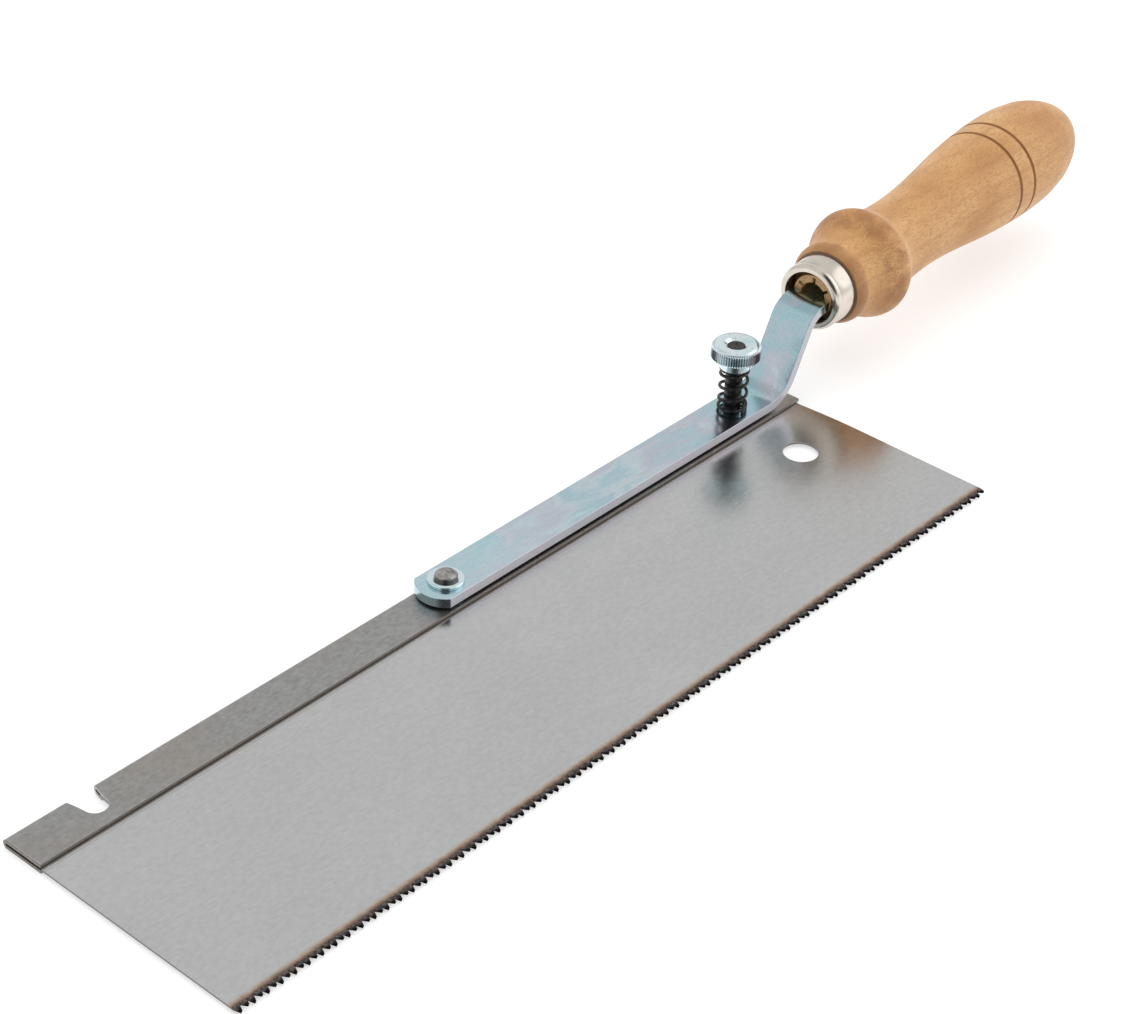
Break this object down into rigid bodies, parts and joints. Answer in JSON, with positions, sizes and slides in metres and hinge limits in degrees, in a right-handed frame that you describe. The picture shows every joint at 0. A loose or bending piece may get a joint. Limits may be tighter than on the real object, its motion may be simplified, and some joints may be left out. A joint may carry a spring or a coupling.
{
  "type": "hand saw",
  "caption": "Fine-toothed back saw with a folded steel back, a cranked arm that swings end for end, a sprung lock button and a turned wooden handle.",
  "frame": {"origin": "on the handle pivot's axis, level with the underside of the folded back", "axes": "+X along the blade towards the handle, +Y from the teeth towards the back, +Z away from the blade on the handle's side"},
  "size_m": [0.3901, 0.088, 0.0407],
  "materials": {
    "blade_steel": "satin ground steel, hardened dark at the teeth",
    "back_steel": "brushed lengthwise",
    "zinc_plate": "bright blue-white zinc plate",
    "blackened_steel": "oiled black oxide",
    "nickel_plate": "bright nickel plate",
    "beech": "clear lacquered beech"
  },
  "bodies": {
    "blade_unit": {"blade": "blade_steel", "folded_back": "back_steel", "pivot_rivet": "blackened_steel", "pivot_spacer": "zinc_plate", "pivot_washer": "zinc_plate"},
    "arm_unit": {"handle_arm": "zinc_plate", "ferrule": "nickel_plate", "wooden_handle": "beech", "lock_spring": "blackened_steel"},
    "lock_button": {"lock_pin": "blackened_steel", "lock_knob": "zinc_plate"}
  },
  "joints": [
    {"name": "arm_swing", "type": "hinge", "parent": "blade_unit", "child": "arm_unit", "pos_m": [0, 0, 0.004], "axis": [0, 0, 1], "range_deg": [0, 180]},
    {"name": "lock_press", "type": "slide", "parent": "arm_unit", "child": "lock_button", "axis": [0, 0, 1], "range_m": [-0.003, 0], "stiffness_N_per_m": 5000, "springref_m": 0.002, "deforming": ["lock_spring"]}
  ]
}
